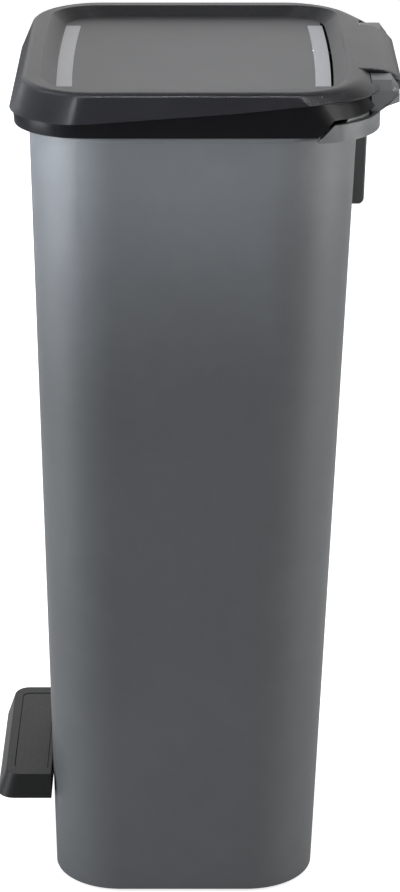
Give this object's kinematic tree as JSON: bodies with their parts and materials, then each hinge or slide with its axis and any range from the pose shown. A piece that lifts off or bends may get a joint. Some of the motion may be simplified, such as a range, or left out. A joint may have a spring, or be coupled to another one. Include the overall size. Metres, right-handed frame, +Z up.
{
  "type": "pedal trash can",
  "caption": "slim pedal trash can: tapered grey plastic tub, hinged near-black lid with a recessed panel, front foot pedal and rear lift rod",
  "frame": {"origin": "on the floor, in the middle of the outer width and depth", "axes": "+X to the right of someone who stands at the pedal and faces it; +Y from the pedal to the hinge; +Z up"},
  "size_m": [0.2912, 0.32, 0.676],
  "materials": {
    "tub_grey": "mid grey polypropylene, fine satin texture",
    "lid_black": "near-black polypropylene, satin top and finely grained edge",
    "inlay_grey": "pale grey satin plastic",
    "pedal_black": "black satin plastic",
    "inner_black": "plain black moulded plastic",
    "soft_rubber": "black rubber",
    "steel": "zinc-plated steel",
    "white_plastic": "natural acetal"
  },
  "bodies": {
    "bin_body": {"axle_block_left": "inner_black", "axle_block_right": "inner_black", "axle_washers": "steel", "bag_ring": "inner_black", "base_plate": "inner_black", "base_screws": "steel", "collar_screws": "steel", "foot_front_left": "soft_rubber", "foot_front_right": "soft_rubber", "foot_rear_left": "soft_rubber", "foot_rear_right": "soft_rubber", "hinge_collar": "tub_grey", "hinge_pin_left": "steel", "hinge_pin_right": "steel", "pedal_axle": "steel", "pedal_stop": "soft_rubber", "rod_cover": "tub_grey", "rod_guide_lower": "inner_black", "rod_guide_upper": "inner_black", "tub": "tub_grey"},
    "lid": {"lid_cover": "lid_black", "lid_frame": "lid_black", "inlay_front": "inlay_grey", "inlay_rear": "inlay_grey", "lift_pad": "white_plastic", "lid_buffers": "soft_rubber"},
    "pedal": {"pedal_plate": "pedal_black", "pedal_tread": "pedal_black", "pedal_lever": "inner_black", "lever_bushes": "white_plastic", "pedal_screws": "steel", "pedal_spacers": "inner_black"},
    "lift": {"lift_rod": "steel", "rod_shoe": "white_plastic", "rod_cap": "white_plastic"}
  },
  "joints": [
    {"name": "lid_hinge", "type": "hinge", "parent": "bin_body", "child": "lid", "pos_m": [0, 0.147, 0.661], "axis": [-1, 0, 0], "range_deg": [0, 80]},
    {"name": "pedal_pivot", "type": "hinge", "parent": "bin_body", "child": "pedal", "pos_m": [0, -0.06, 0.066], "axis": [1, 0, 0], "range_deg": [0, 11.8]},
    {"name": "rod_slide", "type": "slide", "parent": "bin_body", "child": "lift", "axis": [0, 0.0685, 0.9977], "range_m": [0, 0.0305]}
  ],
  "couplings": [
    {"joint": "pedal_pivot", "follows": "lid_hinge", "ratio": 0.145},
    {"joint": "rod_slide", "follows": "lid_hinge", "m_per_rad": 0.021486}
  ]
}
